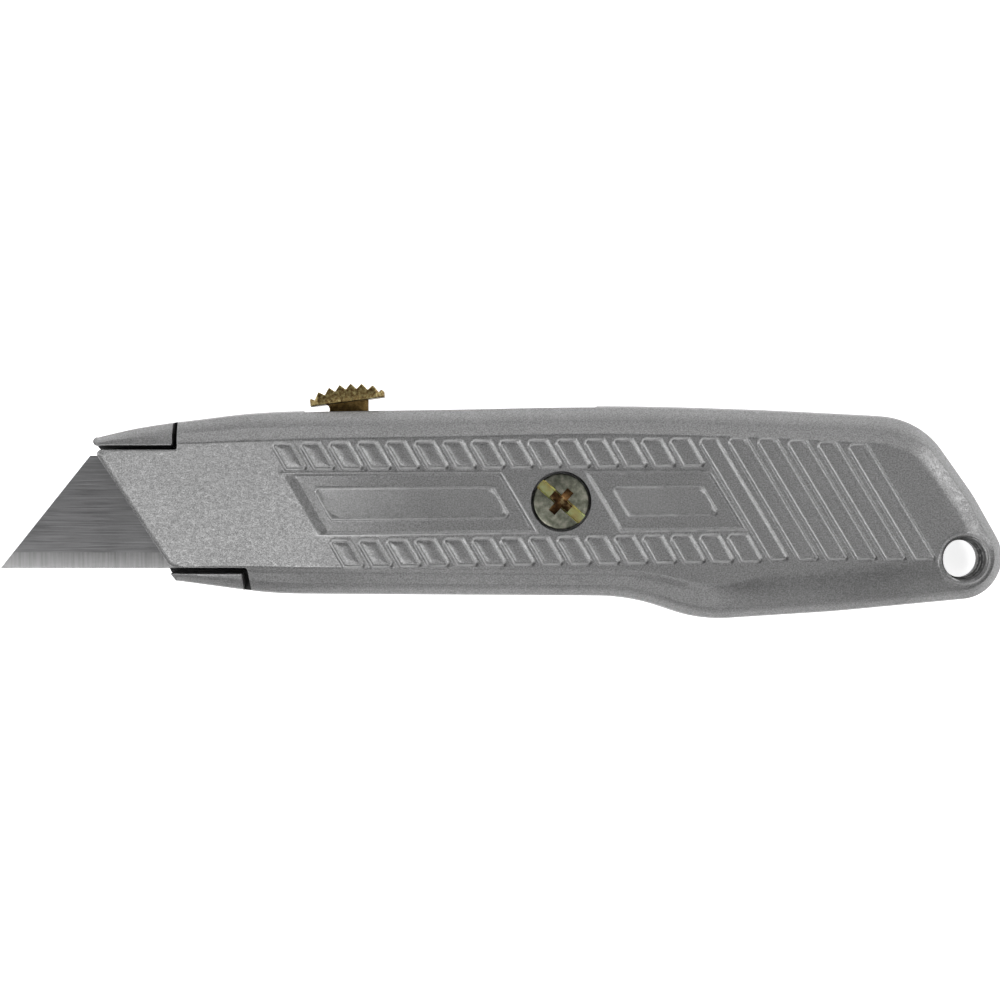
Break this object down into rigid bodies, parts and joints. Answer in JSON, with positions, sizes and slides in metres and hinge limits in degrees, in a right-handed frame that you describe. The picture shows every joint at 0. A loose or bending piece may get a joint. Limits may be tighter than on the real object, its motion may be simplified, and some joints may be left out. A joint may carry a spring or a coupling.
{
  "type": "utility knife",
  "caption": "Retractable utility knife with a die-cast two-part handle, trapezoid blade on a sliding carrier, toothed thumb button, centre screw and hanging hole.",
  "frame": {"origin": "centre of the bounding box's lowest face; the knife lies on its right-hand half, on the tops of the grip pads", "axes": "+X from the blade's tip to the tail, +Y from the cutting edge to the thumb button, +Z out of the half that carries the screw head"},
  "size_m": [0.1679, 0.0394, 0.022],
  "materials": {
    "silver_paint": "metallic silver-grey enamel on a die casting, fine sparkle",
    "blade_steel": "ground carbon steel, brushed along its length, brighter ground edge",
    "zinc_plate": "satin zinc plate with a yellow-green cast",
    "dichromate_plate": "yellow zinc dichromate plate, mottled",
    "plain_steel": "stamped steel, oiled",
    "spring_steel": "blued spring steel"
  },
  "bodies": {
    "handle": {"right_housing": "silver_paint", "spare_blade_1": "blade_steel", "spare_blade_2": "blade_steel", "spare_blade_3": "blade_steel", "spare_blade_4": "blade_steel", "spare_blade_5": "blade_steel"},
    "cover": {"left_housing": "silver_paint"},
    "screw": {"housing_screw": "zinc_plate"},
    "slider": {"blade_carrier": "plain_steel", "blade": "blade_steel", "detent_spring": "spring_steel", "spring_rivet_front": "plain_steel", "spring_rivet_rear": "plain_steel"},
    "button": {"thumb_button": "dichromate_plate"}
  },
  "joints": [
    {"name": "blade_slide", "type": "slide", "parent": "handle", "child": "slider", "axis": [1, 0, 0], "range_m": [0, 0.031]},
    {"name": "button_press", "type": "hinge", "parent": "slider", "child": "button", "pos_m": [-0.0395, 0.0101, 0.011], "axis": [0, 0, -1], "range_deg": [0, 2.5], "stiffness_Nm_per_rad": 1, "deforming": ["detent_spring"]},
    {"name": "cover_lift", "type": "slide", "parent": "handle", "child": "cover", "axis": [0, 0, 1], "range_m": [0, 0.03]},
    {"name": "screw_turn", "type": "hinge", "parent": "cover", "child": "screw", "pos_m": [0.01014, -0.00025, 0.011], "axis": [0, 0, 1], "continuous": true}
  ]
}
